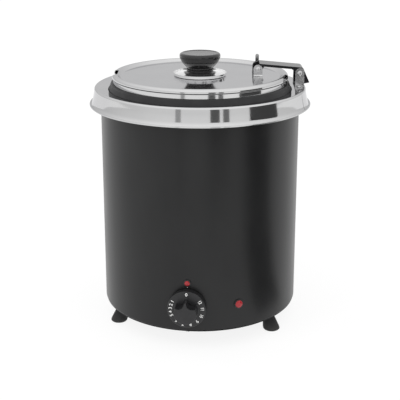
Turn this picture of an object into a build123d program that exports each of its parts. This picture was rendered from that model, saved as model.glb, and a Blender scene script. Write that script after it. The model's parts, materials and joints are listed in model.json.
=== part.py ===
from build123d import *
from math import cos, radians, sin, sqrt
import os

# Electric soup kettle. Millimetres, +Z up, origin on the floor under the kettle's axis.
# The control knob faces -Y, the cable gland is at +Y.
# The collar, the lid and their hinge are drawn with the hinge on +X, then turned by COLLAR_TURN.

# ---- driving dimensions -------------------------------------------------------------------
COLLAR_TURN = 7.0        # degrees, where the lift-off collar happens to be set down
SHEET = 0.8              # stainless and painted steel sheet
STRIP = 1.5              # hinge strip

BODY_R = 128.0           # painted casing, outside
BODY_Z0 = 24.4           # underside of the casing
BODY_Z1 = 296.0          # top of the casing
FLANGE_INNER_R = 118.0   # inner edge of the casing's two turned-in flanges
PLATE_R = 127.2          # base plate
PLATE_Z0 = BODY_Z0 - SHEET

FOOT_ANGLES = (-150.0, -30.0, 90.0)
FOOT_TOP_AT = 110.0      # radius of the foot's fixing
FOOT_SOLE_AT = 117.0     # radius of the sole's centre: the foot splays outwards
FOOT_TOP_R = 6.0
FOOT_SOLE_R = 10.7
BASE_SCREW_ANGLES = (-90.0, 30.0, 150.0)
BASE_SCREW_AT = 122.5

WELL_R = 112.8           # heated well, outside
WELL_Z0 = 84.0
POT_R = 102.2            # soup pot, outside
POT_Z0 = 111.5
POT_FLANGE_R = 115.3
POT_BEAD_R = 1.8
REST_GAP = 0.3           # left between pieces that lift off each other

COLLAR_R = 142.5         # flared lip of the collar
COLLAR_LIP_Z = 287.6
COLLAR_BEAD_R = 1.0      # rolled edge of the lip
COLLAR_TOP_R = 135.6
COLLAR_TOP_Z = 310.6
COLLAR_BORE_R = 117.5
COLLAR_BORE_Z = 307.2
COLLAR_SHEET = 1.0
RIVET_X = 125.7          # the two rivets that hold the ears on the collar
RIVET_Y = 20.0
RIVET_R = 1.6
SEAT_INNER_R = 105.0
SEAT_OUTER_R = 117.3
SEAT_Z0 = 301.2
SEAT_Z1 = 315.0

LID_R = 113.4            # rounded rim
LID_SKIRT_R = 112.2      # the skirt under it is set back
LID_Z0 = SEAT_Z1 + REST_GAP
LID_RIM_Z = 326.8
LID_FLAT_Z = 322.8       # top of the sunken middle of the lid
NOTCH_DEPTH_R = 105.8    # the ladle notch is open outside this radius
NOTCH_WIDTH = 34.0

KNOB_TOP_Z = 352.0
KNOB_FOOT_R = 19.9
KNOB_NECK_R = 16.9
KNOB_HEAD_R = 26.4
DISH_R = 34.1            # shallow dish between the knob and the lid
DISH_RIM_Z = 327.0

LID_PIN = (73.8, 332.7)      # X, Z of the pin through the lid's ears
COLLAR_PIN = (127.1, 327.6)  # X, Z of the pin through the collar's ears
PIN_R = 2.0
PIN_HOLE_R = 2.06            # running hole in the arm
PIN_HEAD_R = 3.6
PIN_HEAD_T = 1.4
ARM_HALF = 14.0              # half of the arm's outer width
ARM_LEFT_X = 76.0            # where the arm's web starts
ARM_TOP = ((76.0, 339.9), (131.0, 335.0))
ARM_TAIL = (139.6, 315.8)
EAR_GAP = 0.3                # arm to ear
EAR_HALF = 5.75              # half of an ear's width along X

DIAL_Z = 57.4            # height of the control knob's axis
DIAL_R = 24.0
DIAL_BACK_Y = -129.5
DIAL_FACE_Y = -137.5
BOSS_BACK_Y = -132.0     # the knob's boss stands back from the thermostat nut
BOSS_R = 8.0
GRIP_FACE_Y = -150.5
GRIP_R0 = 14.4           # at the skirt
GRIP_R1 = 13.9           # at the face
SCOOP_AT = (8.6, 12.9)   # two finger scoops leave a narrow pointer between them
SCOOP_R = 7.2
SHAFT_R = 3.0
SHAFT_BORE_R = 3.05
SHAFT_FLAT_Y = -131.5    # the flat on the shaft starts here
SHAFT_TIP_Y = -144.0
TAB_Z = DIAL_Z - 9.0     # the thermostat's two terminals
POWER_LAMP_Z = 88.6
HEAT_LAMP_ANGLE = -61.0

GLAND_Z = 45.0
GLAND_BORE_R = 4.0
GLAND_TIP_Y = 150.5

ELEMENT_R = 62.0
ELEMENT_TUBE_R = 4.0
HEAT_PLATE_R = 90.0
HEAT_PLATE_T = 3.0
ELEMENT_Z = WELL_Z0 - HEAT_PLATE_T - ELEMENT_TUBE_R - 0.1
ELEMENT_GAP = 10.0       # degrees from the rear to each leg of the element
COLD_END_Z = ELEMENT_Z - 21.0
SENSOR_Z = WELL_Z0 - HEAT_PLATE_T - 3.1

BLOCK_Y = (84.0, 102.0)  # terminal block
BLOCK_TOP = 38.4
TERMINAL_X = (-10.0, 0.0, 10.0)
EARTH_AT = (34.0, 92.0)
WIRE_R = 1.3


# ---- helpers ------------------------------------------------------------------------------
def save(node, *solids):
    """Write one node; identical loose pieces share a node as separate solids."""
    shape = solids[0] if len(solids) == 1 else Compound(children=list(solids))
    export_step(shape, f"parts/{node}.step")


def polar(radius, angle, z=0.0):
    return Vector(radius * cos(radians(angle)), radius * sin(radians(angle)), z)


def around(shape, angle):
    return Rot(0, 0, angle) * shape


def on_collar(shape):
    return around(shape, COLLAR_TURN)


def turned(*points, corner=None):
    """A solid of revolution about Z from (radius, z) points."""
    face = make_face(Polyline(*points, close=True))
    if corner:
        face = fillet([v for v in face.vertices() if v.X > 0.01], corner)
    return revolve(Plane.XZ * face, Axis.Z)


def turned_sheet(points, radii, thickness, side=Side.LEFT):
    """Sheet metal of revolution: an outline bent at its inner points and thickened to one side."""
    line = FilletPolyline(*points, radius=radii)
    wall = make_face(offset(line, amount=thickness, side=side))
    return revolve(Plane.XZ * wall, Axis.Z)


def rod(radius, start, end):
    """A round bar between two points."""
    start = Vector(*start)
    end = Vector(*end)
    plane = Plane(origin=start, z_dir=end - start)
    return extrude(plane * Circle(radius), (end - start).length)


def hexagon(across_flats, start, end, bore):
    start = Vector(*start)
    end = Vector(*end)
    plane = Plane(origin=start, z_dir=end - start)
    outline = RegularPolygon(across_flats / 2, 6, major_radius=False) - Circle(bore)
    return extrude(plane * outline, (end - start).length)


def side_plate(outline, y0, y1):
    """Extrude an outline drawn in X and Z from y0 to y1."""
    return extrude(Plane(origin=(0, y1, 0), x_dir=(1, 0, 0), z_dir=(0, -1, 0)) * outline, y1 - y0)


def tube_along(radius, bend, *points):
    """A wire or thin tube on straight runs joined by tangent arcs."""
    path = FilletPolyline(*points, radius=bend)
    return sweep(Plane(path @ 0, z_dir=path % 0) * Circle(radius), path=path)


# ---- casing and feet ----------------------------------------------------------------------
def outer_shell():
    outline = (
        (FLANGE_INNER_R, BODY_Z0),
        (BODY_R, BODY_Z0),
        (BODY_R, BODY_Z1),
        (FLANGE_INNER_R, BODY_Z1),
    )
    shell = turned_sheet(outline, 2.0, SHEET)
    shell -= rod(5.2, (0, -120, DIAL_Z), (0, -135, DIAL_Z))
    shell -= rod(3.2, (0, -120, POWER_LAMP_Z), (0, -135, POWER_LAMP_Z))
    shell -= rod(4.2, polar(120, HEAT_LAMP_ANGLE, DIAL_Z), polar(135, HEAT_LAMP_ANGLE, DIAL_Z))
    shell -= rod(8.2, (0, 120, GLAND_Z), (0, 135, GLAND_Z))
    for angle in BASE_SCREW_ANGLES:
        shell -= rod(2.1, polar(BASE_SCREW_AT, angle, 20), polar(BASE_SCREW_AT, angle, 30))
    return shell


def base_plate():
    plate = extrude(Plane.XY.offset(PLATE_Z0) * Circle(PLATE_R), SHEET)
    slot = extrude(Plane.XY.offset(PLATE_Z0 - 1) * SlotOverall(26, 3.2), SHEET + 2)
    for ring_radius, count in ((44.0, 12), (80.0, 24)):
        for step in range(count):
            plate -= around(Pos(ring_radius, 0, 0) * slot, 360 * step / count)
    for angle in FOOT_ANGLES:
        plate -= rod(2.1, polar(FOOT_TOP_AT, angle, 20), polar(FOOT_TOP_AT, angle, 30))
    for angle in BASE_SCREW_ANGLES:
        plate -= rod(2.1, polar(BASE_SCREW_AT, angle, 20), polar(BASE_SCREW_AT, angle, 30))
    plate -= rod(2.1, (EARTH_AT[0], EARTH_AT[1], 20), (EARTH_AT[0], EARTH_AT[1], 30))
    return plate


def foot():
    """A splayed rubber foot: an oblique cone on a sole with a bevelled edge."""
    sections = (
        (PLATE_Z0, FOOT_TOP_AT, FOOT_TOP_R),
        (3.0, FOOT_SOLE_AT - 0.6, FOOT_SOLE_R),
        (1.0, FOOT_SOLE_AT, FOOT_SOLE_R),
        (0.0, FOOT_SOLE_AT, FOOT_SOLE_R - 0.9),
    )
    circles = [Plane.XY.offset(z) * Pos(at, 0) * Circle(radius) for z, at, radius in sections]
    body = loft(circles, ruled=True)
    return body - rod(PIN_R + 0.05, (FOOT_TOP_AT, 0, 13.8), (FOOT_TOP_AT, 0, 30))


def foot_stud():
    return rod(PIN_R, (FOOT_TOP_AT, 0, 14), (FOOT_TOP_AT, 0, 31))


def foot_nut():
    return hexagon(7.0, (FOOT_TOP_AT, 0, BODY_Z0), (FOOT_TOP_AT, 0, BODY_Z0 + 3.2), PIN_R + 0.05)


def pan_screw(radius, head_radius, head_height, start, end):
    """A pan-head screw whose shank runs from start, under the head, to end."""
    start = Vector(*start)
    end = Vector(*end)
    along = (end - start).normalized()
    head = rod(head_radius, start - along * head_height, start)
    top = head.faces().sort_by(Axis(start, along))[0]
    head = fillet(top.edges(), 0.3 * head_height)
    slot = Plane(origin=start - along * head_height, z_dir=along) * Box(3 * head_radius, 0.9, 1.4)
    return head + rod(radius, start, end) - slot


def base_screw():
    return pan_screw(1.9, 3.4, 1.4, (BASE_SCREW_AT, 0, PLATE_Z0), (BASE_SCREW_AT, 0, 31))


# ---- well and heating ---------------------------------------------------------------------
def well():
    outline = ((126.0, BODY_Z1), (WELL_R, BODY_Z1), (WELL_R, WELL_Z0), (0, WELL_Z0))
    return turned_sheet(outline, (3.0, 16.0), SHEET, Side.RIGHT)


def heat_plate():
    return extrude(Plane.XY.offset(WELL_Z0 - HEAT_PLATE_T) * Circle(HEAT_PLATE_R), HEAT_PLATE_T)


def heating_element():
    arc = CenterArc((0, 0, ELEMENT_Z), ELEMENT_R, 90 + ELEMENT_GAP, 360 - 2 * ELEMENT_GAP)
    tube = sweep(Plane(arc @ 0, z_dir=arc % 0) * Circle(ELEMENT_TUBE_R), path=arc)
    for angle in (90 - ELEMENT_GAP, 90 + ELEMENT_GAP):
        top = polar(ELEMENT_R, angle, ELEMENT_Z)
        tube += Pos(top) * Sphere(ELEMENT_TUBE_R)
        tube += rod(ELEMENT_TUBE_R, top, polar(ELEMENT_R, angle, ELEMENT_Z - 14))
        tube += rod(1.6, top, polar(ELEMENT_R, angle, COLD_END_Z))
    return tube


def element_clip():
    """An omega strap that holds the element up to the heat plate."""
    plate_z = WELL_Z0 - HEAT_PLATE_T
    inner = ELEMENT_TUBE_R + 0.35
    outer = inner + 1.0
    drop = plate_z - ELEMENT_Z
    arch = Circle(outer) + Pos(0, drop / 2) * Rectangle(2 * outer, drop)
    arch += Pos(0, drop - 0.5) * Rectangle(2 * outer + 16, 1.0)
    arch -= Circle(inner) + Pos(0, 5) * Rectangle(2 * inner, 10)
    arch &= Pos(0, drop - 15) * Rectangle(60, 30)
    return Pos(ELEMENT_R, 0, ELEMENT_Z) * side_plate(arch, -5, 5)


def insulation_wrap():
    ring = Circle(126.6) - Circle(114.0)
    return extrude(Plane.XY.offset(96.0) * ring, 188.0)


# ---- controls -----------------------------------------------------------------------------
def thermostat():
    body = Pos(0, -109.5, DIAL_Z) * Box(40, 23, 34)
    body = fillet(body.edges().filter_by(Axis.Y), 2.0)
    body += rod(8.0, (0, -121, DIAL_Z), (0, -126.9, DIAL_Z))
    body += rod(5.0, (0, -121, DIAL_Z), (0, -131, DIAL_Z))
    for x in (-10, 10):
        body += Pos(x, -96, TAB_Z) * Box(6.3, 6, 0.8)
    return body - rod(SHAFT_BORE_R, (0, -111, DIAL_Z), (0, -132, DIAL_Z))


def thermostat_nut():
    return hexagon(14.0, (0, -128.05, DIAL_Z), (0, -130.6, DIAL_Z), 5.05)


def shaft_section(clearance):
    flat = Pos(0, 1.5 + clearance + 5) * Rectangle(12, 10)
    return Circle(SHAFT_R + clearance) - flat


def thermostat_shaft():
    round_part = rod(SHAFT_R, (0, -112, DIAL_Z), (0, SHAFT_FLAT_Y, DIAL_Z))
    front = Plane(origin=(0, SHAFT_FLAT_Y, DIAL_Z), x_dir=(1, 0, 0), z_dir=(0, -1, 0))
    return round_part + extrude(front * shaft_section(0), SHAFT_FLAT_Y - SHAFT_TIP_Y)


def control_knob():
    """Dial skirt and grip in one moulding, hollow at the back, turned about the shaft axis."""
    skirt = DIAL_BACK_Y - DIAL_FACE_Y
    grip = DIAL_BACK_Y - GRIP_FACE_Y
    boss = DIAL_BACK_Y - BOSS_BACK_Y
    hollow = skirt - 2.6
    outline = make_face(
        Polyline(
            (0, boss),
            (BOSS_R, boss),
            (BOSS_R, hollow),
            (DIAL_R - 1.6, hollow),
            (DIAL_R - 1.6, 0),
            (DIAL_R, 0),
            (DIAL_R, skirt),
            (GRIP_R0, skirt),
            (GRIP_R1, grip),
            (0, grip),
            close=True,
        )
    )
    skirt_edge = [v for v in outline.vertices() if abs(v.X - DIAL_R) < 0.01 and v.Y > 1]
    outline = fillet(skirt_edge, 1.0)
    root = [v for v in outline.vertices() if abs(v.X - GRIP_R0) < 0.01]
    outline = fillet(root, 1.2)
    body = revolve(Plane.XZ * outline, Axis.Z)
    for side in (-1, 1):
        body -= Pos(side * SCOOP_AT[0], SCOOP_AT[1], skirt) * extrude(Circle(SCOOP_R), grip)
    body = fillet(body.faces().sort_by(Axis.Z)[-1].edges(), 0.7)
    body -= extrude(Plane.XY.offset(-1) * shaft_section(0.05), DIAL_BACK_Y - SHAFT_TIP_Y + 1.2)
    front = Plane(origin=(0, DIAL_BACK_Y, DIAL_Z), x_dir=(1, 0, 0), z_dir=(0, -1, 0))
    return front * body


def lamp_lens(lens_r, stem_r):
    """A domed lens drawn about Z with its flange on z = 0 and its stem below."""
    cap = extrude(Circle(lens_r), 1.2)
    dome = Pos(0, 0, 1.2) * scale(Sphere(lens_r - 0.4), (1, 1, 0.38))
    dome &= Pos(0, 0, 1.2 + lens_r) * Box(4 * lens_r, 4 * lens_r, 2 * lens_r)
    return cap + dome + Pos(0, 0, -4) * extrude(Circle(stem_r), 4)


def lamp_housing(stem_r, length):
    """The lamp's tube behind the casing wall, with two flat terminals at its end."""
    tube = Pos(0, 0, -1.5 - length) * extrude(Circle(stem_r + 1.5), length)
    tube -= Pos(0, 0, -4.2) * extrude(Circle(stem_r + 0.05), 6)
    for side in (-1, 1):
        tube += Pos(side * 2.0, 0, -1.5 - length) * Box(0.8, 2.8, 7)
    return tube


def in_casing(shape, angle, z):
    """Put a lamp drawn about Z into the casing wall, pointing outwards."""
    at = polar(BODY_R + 0.05, angle, z)
    return Plane(origin=at, z_dir=polar(1, angle)) * shape


# ---- mains inlet and wiring ---------------------------------------------------------------
def gland_body():
    flange = hexagon(19.0, (0, 128.05, GLAND_Z), (0, 134, GLAND_Z), GLAND_BORE_R)
    stem = rod(8.0, (0, 116, GLAND_Z), (0, 130, GLAND_Z))
    sleeve = rod(7.0, (0, 134, GLAND_Z), (0, 140, GLAND_Z))
    return flange + stem + sleeve - rod(GLAND_BORE_R, (0, 110, GLAND_Z), (0, 150, GLAND_Z))


def gland_cap():
    length = GLAND_TIP_Y - 134.05
    shape = turned((0, 0), (10.0, 0), (10.0, 7.0), (6.5, length), (0, length))
    cap = Pos(0, 134.05, GLAND_Z) * Rot(-90, 0, 0) * shape
    cap -= rod(7.05, (0, 134, GLAND_Z), (0, 140.1, GLAND_Z))
    cap -= rod(GLAND_BORE_R, (0, 139, GLAND_Z), (0, GLAND_TIP_Y + 1, GLAND_Z))
    rib = Pos(10.4, 0, 3.5) * Box(2.2, 1.6, 7)
    for step in range(12):
        cap -= Pos(0, 134.05, GLAND_Z) * Rot(-90, 0, 0) * around(rib, 30 * step)
    return cap


def gland_nut():
    return hexagon(21.0, (0, 121.6, GLAND_Z), (0, 126.4, GLAND_Z), 8.05)


def terminal_block():
    block = Pos(0, sum(BLOCK_Y) / 2, (BODY_Z0 + BLOCK_TOP) / 2) * Box(
        36, BLOCK_Y[1] - BLOCK_Y[0], BLOCK_TOP - BODY_Z0
    )
    for x in TERMINAL_X:
        block -= rod(2.6, (x, 93, 30), (x, 93, 45))
        block -= rod(WIRE_R + 0.3, (x, 80, 33), (x, 89, 33))
    return block


def terminal_screw(x):
    return pan_screw(1.5, 2.3, 1.6, (x, 93, 36.5), (x, 93, 30.5))


def earth_screw():
    return pan_screw(2.0, 3.6, 1.5, (*EARTH_AT, PLATE_Z0), (*EARTH_AT, 36))


def earth_nut():
    return hexagon(7.0, (*EARTH_AT, BODY_Z0 + 2.8), (*EARTH_AT, BODY_Z0 + 6.0), 2.05)


def earth_tag():
    """Ring tag under the earth nut, with its tongue towards the terminal block."""
    x, y = EARTH_AT
    tag = extrude(Plane.XY.offset(BODY_Z0 + 1.9) * Pos(x, y) * Circle(4.2), 0.8)
    tag += Pos(x, y - 8, BODY_Z0 + 2.3) * Box(4, 10, 0.8)
    return tag - rod(2.1, (x, y, 20), (x, y, 40))


def element_foot(side):
    """Lower tip of the element's cold end: side is -1 or +1 of the rear."""
    return polar(ELEMENT_R, 90 - side * ELEMENT_GAP, COLD_END_Z)


def wires():
    left = element_foot(-1)
    right = element_foot(1)
    live = (
        (-10, 88.5, 33),
        (-10, 70, 33),
        (-36, 40, 30),
        (-36, -60, 30),
        (-10, -80, TAB_Z),
        (-10, -92.9, TAB_Z),
    )
    load = (
        (10, -92.9, TAB_Z),
        (10, -80, TAB_Z),
        (36, -50, 36),
        (36, 30, 36),
        (right.X, right.Y, 40),
        right,
    )
    neutral = ((0, 88.5, 33), (0, 72, 33), (left.X, left.Y, 36), left)
    x, y = EARTH_AT
    earth = ((10, 88.5, 33), (10, 70, 33), (x, 66, 29), (x, y - 13.1, BODY_Z0 + 2.3))
    return {
        "wire_live": tube_along(WIRE_R, 8.0, *live),
        "wire_load": tube_along(WIRE_R, 8.0, *load),
        "wire_neutral": tube_along(WIRE_R, 7.0, *neutral),
        "wire_earth": tube_along(WIRE_R, 6.0, *earth),
    }


def sensor_bulb():
    bulb = rod(3.0, (-40, 20, SENSOR_Z), (40, 20, SENSOR_Z))
    return fillet(bulb.edges(), 1.2)


def capillary():
    points = (
        (-40, 20, SENSOR_Z),
        (-50, 20, SENSOR_Z),
        (-50, 20, 64),
        (-12, -84, 64),
        (-12, -98, 64),
    )
    return tube_along(1.0, 4.5, *points)


# ---- pot ----------------------------------------------------------------------------------
def soup_pot():
    z = BODY_Z1 + SHEET + REST_GAP
    outline = ((POT_FLANGE_R, z), (POT_R, z), (POT_R, POT_Z0), (0, POT_Z0))
    pot = turned_sheet(outline, (3.0, 18.0), SHEET, Side.RIGHT)
    bead = Pos(0, 0, z + POT_BEAD_R) * Torus(POT_FLANGE_R, POT_BEAD_R)
    return pot + bead


# ---- collar and its seat ------------------------------------------------------------------
def collar_surface_z(radius):
    """Height of the collar's gently dished top at a radius."""
    slope = (COLLAR_TOP_Z - COLLAR_BORE_Z) / (COLLAR_TOP_R - COLLAR_BORE_R)
    return COLLAR_BORE_Z + slope * (radius - COLLAR_BORE_R)


def ring_collar():
    """Flared wall, dished top and a turned-down bore, in one sheet with a rolled lip."""
    outline = (
        (COLLAR_R - 0.9, COLLAR_LIP_Z),
        (139.0, 291.5),
        (136.9, 301.0),
        (COLLAR_TOP_R, COLLAR_TOP_Z),
        (COLLAR_BORE_R, COLLAR_BORE_Z),
        (COLLAR_BORE_R, BODY_Z1 + SHEET + REST_GAP),
    )
    collar = turned_sheet(outline, (12.0, 60.0, 2.6, 1.6), COLLAR_SHEET)
    bead = Torus(COLLAR_R - COLLAR_BEAD_R, COLLAR_BEAD_R)
    collar += Pos(0, 0, COLLAR_LIP_Z + 0.8) * bead
    for side in (-1, 1):
        collar -= rod(RIVET_R + 0.05, (RIVET_X, side * RIVET_Y, 300), (RIVET_X, side * RIVET_Y, 320))
    return collar


def lid_seat_ring():
    return turned(
        (SEAT_INNER_R, SEAT_Z0),
        (SEAT_OUTER_R, SEAT_Z0),
        (SEAT_OUTER_R, COLLAR_BORE_Z + 0.3),
        (LID_R + 1.0, SEAT_Z1),
        (SEAT_INNER_R, SEAT_Z1),
        corner=0.8,
    )


# ---- hinge --------------------------------------------------------------------------------
def ear_outline(pin, foot_z, round_z, half):
    x = pin[0]
    outline = Pos(x, (foot_z + round_z) / 2) * Rectangle(2 * half, round_z - foot_z)
    return outline + Pos(x, round_z) * Circle(half)


def ear_span(side):
    """The Y range of an ear, just outside the arm's flange."""
    inner = ARM_HALF + EAR_GAP
    near, far = side * inner, side * (inner + STRIP)
    return min(near, far), max(near, far)


def lid_ear(side):
    """L bracket welded to the lid. The rear one carries a finger that lifts the arm."""
    y0, y1 = ear_span(side)
    outline = ear_outline(LID_PIN, LID_FLAT_Z, LID_PIN[1] + 0.2, EAR_HALF)
    if side > 0:
        outline += Pos(LID_PIN[0] + 0.4, 340.0) * SlotCenterToCenter(11.0, 4.6, rotation=90)
    ear = side_plate(outline - Pos(*LID_PIN) * Circle(PIN_R), y0, y1)
    reach = 17.0
    middle = (y0 + y1) / 2 + side * reach / 2
    foot = Pos(LID_PIN[0], middle, LID_FLAT_Z + STRIP / 2) * Box(2 * EAR_HALF, reach + STRIP, STRIP)
    corners = foot.edges().filter_by(Axis.Z).sort_by(Axis.Y)
    foot = fillet(corners[-2:] if side > 0 else corners[:2], 2.5)
    return ear + foot


def collar_ear(side):
    """L bracket riveted to the collar's dished top."""
    y0, y1 = ear_span(side)
    half = EAR_HALF - 0.15
    x0 = COLLAR_PIN[0] - half
    x1 = x0 + 8.6
    outer_y = 24.0
    low = collar_surface_z(sqrt(x0**2 + outer_y**2)) + 0.05
    high = collar_surface_z(sqrt(x1**2 + outer_y**2)) + 0.05
    ear = ear_outline(COLLAR_PIN, low, COLLAR_PIN[1] + 1.8, half)
    slope = (high - low) / (x1 - x0)
    right = COLLAR_PIN[0] + half
    wedge = Polyline(
        (x0, low - 3),
        (right, low - 3),
        (right, low + slope * 2 * half),
        (x0, low),
        close=True,
    )
    ear -= make_face(wedge) + Pos(*COLLAR_PIN) * Circle(PIN_R)
    plate = side_plate(ear, y0, y1)
    foot = Polyline((x0, low), (x1, high), (x1, high + STRIP), (x0, low + STRIP), close=True)
    span = (y0, outer_y) if side > 0 else (-outer_y, y1)
    plate += side_plate(make_face(foot), *span)
    return plate - rod(RIVET_R, (RIVET_X, side * RIVET_Y, 300), (RIVET_X, side * RIVET_Y, 320))


def collar_rivet(side):
    x = RIVET_X
    y = side * RIVET_Y
    top = collar_surface_z(sqrt((x + 2.9) ** 2 + y**2)) + 0.3 + STRIP
    under = collar_surface_z(sqrt((x - 2.6) ** 2 + y**2)) - COLLAR_SHEET - 0.3
    head = Pos(x, y, top) * scale(Sphere(2.9), (1, 1, 0.5))
    head &= Pos(x, y, top + 5) * Box(20, 20, 10)
    tail = extrude(Pos(x, y, under - 1.0) * Circle(2.6), 1.0)
    return head + tail + rod(RIVET_R, (x, y, under - 0.5), (x, y, top + 0.2))


def hinge_pin(pin):
    """A pin across both ears, with a domed head on each side."""
    x, z = pin
    outer = ARM_HALF + EAR_GAP + STRIP
    shaft = rod(PIN_R, (x, -outer - 0.5, z), (x, outer + 0.5, z))
    for side in (-1, 1):
        ball = Pos(x, side * outer, z) * scale(Sphere(PIN_HEAD_R), (1, PIN_HEAD_T / PIN_HEAD_R, 1))
        keep = Pos(x, side * (outer + 5), z) * Box(20, 10, 20)
        shaft += ball & keep
    return shaft


def arm_top_z(x):
    (x0, z0), (x1, z1) = ARM_TOP
    return z0 + (z1 - z0) * (x - x0) / (x1 - x0)


def hinge_arm():
    """Inverted channel between the two pins, its tail turned down outside the collar pin."""
    corner = ARM_TOP[1]
    outline = make_face(
        Polyline(
            ARM_TOP[0],
            corner,
            ARM_TAIL,
            (122.6, 312.4),
            (121.2, 330.0),
            (116.5, arm_top_z(116.5) - 3.2),
            (81.5, arm_top_z(81.5) - 3.2),
            (77.5, 329.4),
            (ARM_LEFT_X - 2, 329.4),
            (ARM_LEFT_X - 2, ARM_TOP[0][1] - 2),
            close=True,
        )
    )
    outline = fillet([v for v in outline.vertices() if abs(v.X - corner[0]) < 0.01], 4.0)
    outline += Pos(*LID_PIN) * Circle(5.2)
    channel = side_plate(outline, -ARM_HALF, ARM_HALF)

    run = (ARM_TAIL[0] - corner[0]) / (ARM_TAIL[1] - corner[1])
    wall = STRIP * sqrt(1 + run**2)
    inside_x = corner[0] - wall - 0.5
    cavity = Polyline(
        (60.0, arm_top_z(60.0) - STRIP),
        (inside_x, arm_top_z(inside_x) - STRIP),
        (corner[0] - wall + run * (300 - corner[1]), 300.0),
        (60.0, 300.0),
        close=True,
    )
    half_inside = ARM_HALF - STRIP
    channel -= side_plate(make_face(cavity), -half_inside, half_inside)
    channel -= side_plate(Pos(66, 340) * Rectangle(2 * (ARM_LEFT_X - 66), 7), -half_inside, half_inside)
    for x, z in (LID_PIN, COLLAR_PIN):
        channel -= rod(PIN_HOLE_R, (x, -20, z), (x, 20, z))
    return channel


# ---- lid ----------------------------------------------------------------------------------
def lid_shell():
    """Set-back skirt, rounded rim and sunken middle in one sheet, with the ladle notch."""
    outline = (
        (LID_SKIRT_R, LID_Z0),
        (LID_SKIRT_R, 320.6),
        (LID_R, 321.8),
        (LID_R, LID_RIM_Z),
        (107.0, LID_RIM_Z),
        (102.5, LID_FLAT_Z),
        (0, LID_FLAT_Z),
    )
    lid = turned_sheet(outline, (1.0, 1.2, 4.2, 4.0, 4.0), SHEET)
    notch = Pos(-NOTCH_DEPTH_R - 10, 0, 320) * Box(20, NOTCH_WIDTH, 30)
    lid -= fillet(notch.edges().filter_by(Axis.Z).sort_by(Axis.X)[-2:], 4.0)
    return lid - rod(2.7, (0, 0, 310), (0, 0, 330))


def knob_dish():
    outline = ((2.7, LID_FLAT_Z), (DISH_R - 0.5, LID_FLAT_Z), (DISH_R, DISH_RIM_Z))
    return turned_sheet(outline, 2.2, SHEET)


def lid_knob():
    seat = LID_FLAT_Z + SHEET + 0.05
    edge_z = 347.4
    foot = Polyline((0, seat), (13.0, seat), (KNOB_FOOT_R - 0.5, 324.7), (KNOB_FOOT_R, 325.4))
    foot_round = ThreePointArc((KNOB_FOOT_R, 325.4), (19.0, 327.2), (KNOB_NECK_R, 328.2))
    groove = Polyline(
        (KNOB_NECK_R, 328.2),
        (KNOB_NECK_R, 329.6),
        (16.2, 330.2),
        (KNOB_NECK_R, 330.8),
        (17.0, 332.6),
    )
    flare = ((17.0, 332.6), (20.6, 337.2), (24.6, 342.6), (KNOB_HEAD_R, edge_z))
    head = Spline(*flare, tangents=((0, 1), (0, 1)))
    edge = ThreePointArc((KNOB_HEAD_R, edge_z), (25.5, 350.4), (22.8, KNOB_TOP_Z))
    top = Polyline((22.8, KNOB_TOP_Z), (21.0, KNOB_TOP_Z - 0.7), (0, KNOB_TOP_Z - 0.7), (0, seat))
    face = make_face(Wire([*foot.edges(), foot_round, *groove.edges(), head, edge, *top.edges()]))
    knob = revolve(Plane.XZ * face, Axis.Z)
    return knob - rod(2.55, (0, 0, 320), (0, 0, 343))


def knob_washer():
    under = LID_FLAT_Z - SHEET
    return extrude(Plane.XY.offset(under - 0.8) * (Circle(6.0) - Circle(2.7)), 0.8)


def knob_screw():
    under = LID_FLAT_Z - SHEET - 0.8
    return pan_screw(2.5, 4.6, 3.0, (0, 0, under), (0, 0, 342))


# ---- write every node ---------------------------------------------------------------------
os.makedirs("parts", exist_ok=True)

save("outer_shell", outer_shell())
save("base_plate", base_plate())
save("feet", *[around(foot(), angle) for angle in FOOT_ANGLES])
save("foot_studs", *[around(foot_stud(), angle) for angle in FOOT_ANGLES])
save("foot_nuts", *[around(foot_nut(), angle) for angle in FOOT_ANGLES])
save("base_screws", *[around(base_screw(), angle) for angle in BASE_SCREW_ANGLES])

save("well", well())
save("heat_plate", heat_plate())
save("heating_element", heating_element())
save("element_clips", *[around(element_clip(), angle) for angle in (-120.0, 0.0, 180.0)])
save("insulation_wrap", insulation_wrap())

save("thermostat", thermostat())
save("thermostat_nut", thermostat_nut())
save("thermostat_shaft", thermostat_shaft())
save("control_knob", control_knob())
save("sensor_bulb", sensor_bulb())
save("capillary", capillary())
save("power_lamp_lens", in_casing(lamp_lens(3.7, 3.0), -90, POWER_LAMP_Z))
save("power_lamp_housing", in_casing(lamp_housing(3.0, 11), -90, POWER_LAMP_Z))
save("heat_lamp_lens", in_casing(lamp_lens(5.2, 4.0), HEAT_LAMP_ANGLE, DIAL_Z))
save("heat_lamp_housing", in_casing(lamp_housing(4.0, 20), HEAT_LAMP_ANGLE, DIAL_Z))

save("gland_body", gland_body())
save("gland_cap", gland_cap())
save("gland_nut", gland_nut())
save("terminal_block", terminal_block())
save("terminal_screws", *[terminal_screw(x) for x in TERMINAL_X])
save("earth_screw", earth_screw())
save("earth_nut", earth_nut())
save("earth_tag", earth_tag())
for wire_name, wire in wires().items():
    save(wire_name, wire)

save("soup_pot", soup_pot())

save("ring_collar", on_collar(ring_collar()))
save("lid_seat_ring", on_collar(lid_seat_ring()))
save("collar_ear_front", on_collar(collar_ear(-1)))
save("collar_ear_rear", on_collar(collar_ear(1)))
save("collar_rivets", *[on_collar(collar_rivet(side)) for side in (-1, 1)])
save("collar_pin", on_collar(hinge_pin(COLLAR_PIN)))
save("hinge_arm", on_collar(hinge_arm()))

save("lid_shell", on_collar(lid_shell()))
save("lid_ear_front", on_collar(lid_ear(-1)))
save("lid_ear_rear", on_collar(lid_ear(1)))
save("lid_pin", on_collar(hinge_pin(LID_PIN)))
save("knob_dish", on_collar(knob_dish()))
save("lid_knob", on_collar(lid_knob()))
save("knob_washer", on_collar(knob_washer()))
save("knob_screw", on_collar(knob_screw()))
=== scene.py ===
import json
from math import cos, pi, radians, sin, tan

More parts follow.
